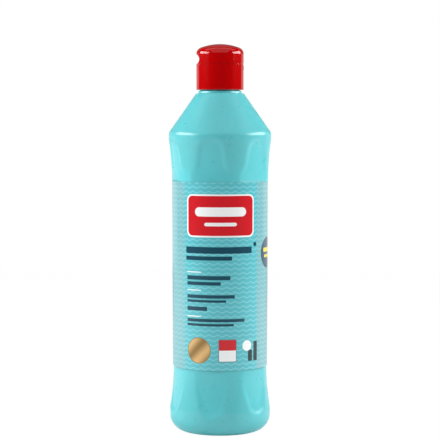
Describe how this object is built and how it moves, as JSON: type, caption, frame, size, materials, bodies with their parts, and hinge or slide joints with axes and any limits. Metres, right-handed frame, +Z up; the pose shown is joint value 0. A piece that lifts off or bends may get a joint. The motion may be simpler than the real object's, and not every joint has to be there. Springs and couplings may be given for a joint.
{
  "type": "bleach bottle",
  "caption": "Slim fluted plastic squeeze bottle for thick bleach, with a wrap label, a screw-on closure and a hinged flip-top lid.",
  "frame": {"origin": "centre of the foot, on the surface that the bottle stands on", "axes": "+Z up along the bottle axis, +X towards the hinge of the lid, -Y towards the front of the label"},
  "size_m": [0.066, 0.066, 0.25],
  "materials": {
    "bottle_plastic": "glossy blown polyethylene, turquoise",
    "label_film": "printed satin film, pale turquoise",
    "seal_foam": "white foam sheet",
    "closure_plastic": "glossy moulded polypropylene, red"
  },
  "bodies": {
    "bottle": {"bottle": "bottle_plastic", "label": "label_film"},
    "seal": {"seal_ring": "seal_foam"},
    "closure": {"closure": "closure_plastic", "hinge_film": "closure_plastic"},
    "lid": {"lid": "closure_plastic"}
  },
  "joints": [
    {"name": "closure_lift", "type": "slide", "parent": "bottle", "child": "seal", "axis": [0, 0, 1], "range_m": [0, 0.0181]},
    {"name": "closure_turn", "type": "hinge", "parent": "seal", "child": "closure", "pos_m": [0, 0, 0.23472], "axis": [0, 0, 1], "range_deg": [0, 1530]},
    {"name": "lid_flip", "type": "hinge", "parent": "closure", "child": "lid", "pos_m": [0.01525, 0, 0.23702], "axis": [0, 1, 0], "range_deg": [0, 160], "deforming": ["hinge_film"]}
  ],
  "couplings": [
    {"joint": "closure_lift", "follows": "closure_turn", "m_per_rad": 0.0006737}
  ]
}
